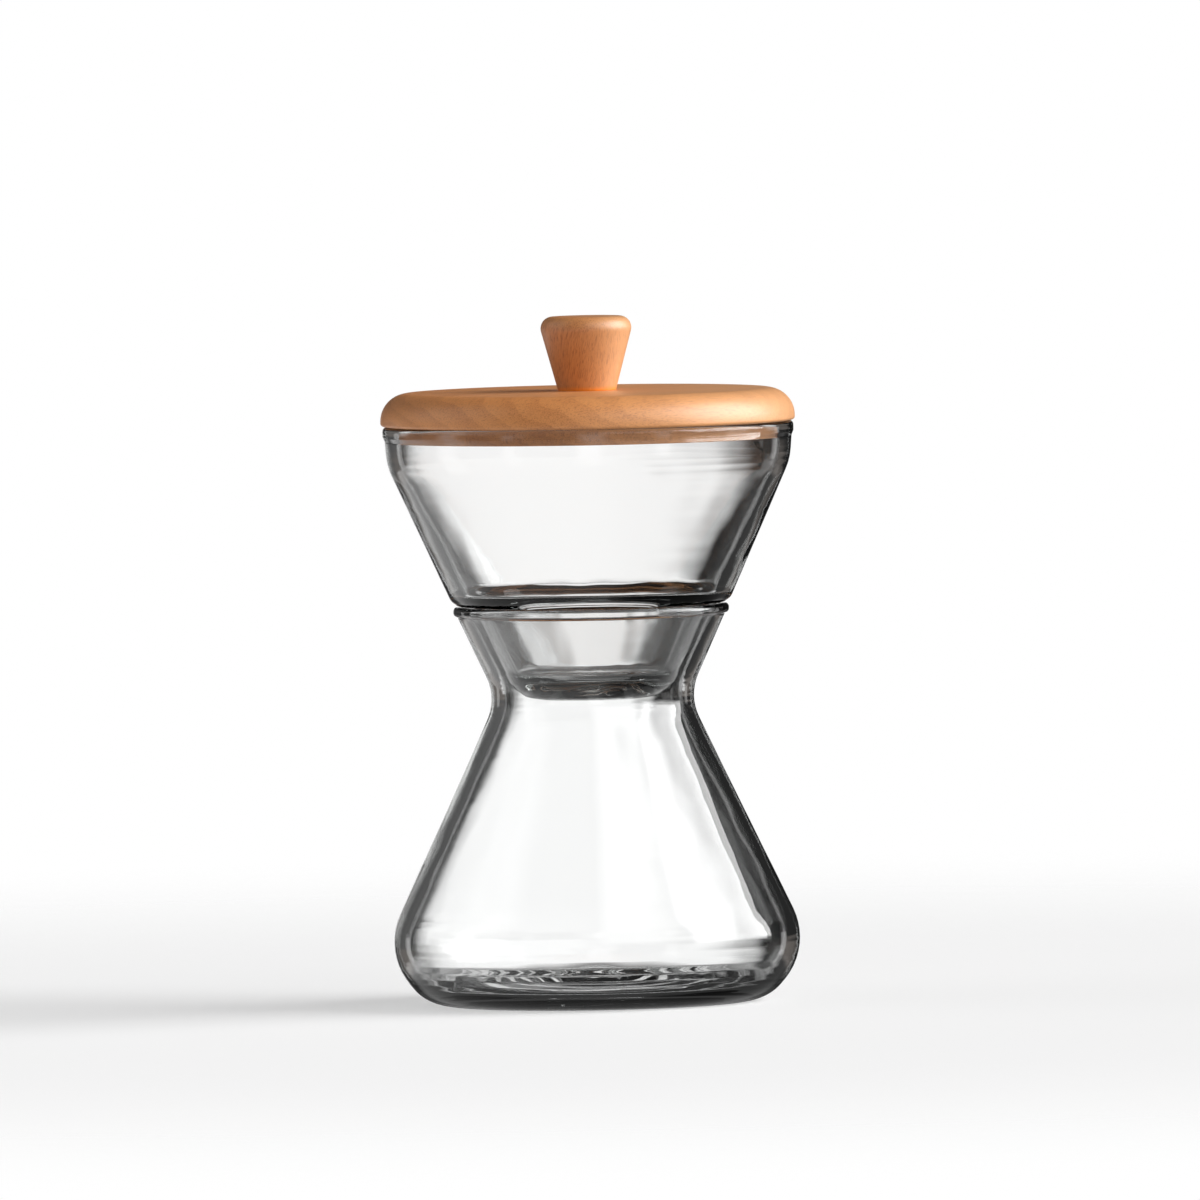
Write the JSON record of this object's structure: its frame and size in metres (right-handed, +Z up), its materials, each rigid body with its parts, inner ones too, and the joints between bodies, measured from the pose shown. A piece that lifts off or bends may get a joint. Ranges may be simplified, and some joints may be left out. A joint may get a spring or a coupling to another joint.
{
  "type": "stacking creamer and sugar bowl",
  "caption": "Hourglass glass creamer with a conical glass sugar bowl seated in its mouth, closed by a turned beech lid with a tapered knob.",
  "frame": {"origin": "centre of the creamer's base, on the surface it stands on", "axes": "+Z up along the common axis of the turned pieces, towards the knob; X and Y are level and alike"},
  "size_m": [0.1044, 0.1044, 0.173],
  "materials": {
    "clear_glass": "clear, fire polished",
    "beech_lid": "satin oiled",
    "beech_knob": "satin oiled",
    "beech_dowel": "raw, glued"
  },
  "bodies": {
    "creamer": {"creamer": "clear_glass"},
    "sugar_bowl": {"sugar_bowl": "clear_glass"},
    "lid": {"lid_disc": "beech_lid", "lid_knob": "beech_knob", "knob_dowel": "beech_dowel"}
  },
  "joints": [
    {"name": "bowl_lift", "type": "slide", "parent": "creamer", "child": "sugar_bowl", "axis": [0, 0, 1], "range_m": [0, 0.08]},
    {"name": "lid_lift", "type": "slide", "parent": "sugar_bowl", "child": "lid", "axis": [0, 0, 1], "range_m": [0, 0.06]}
  ]
}
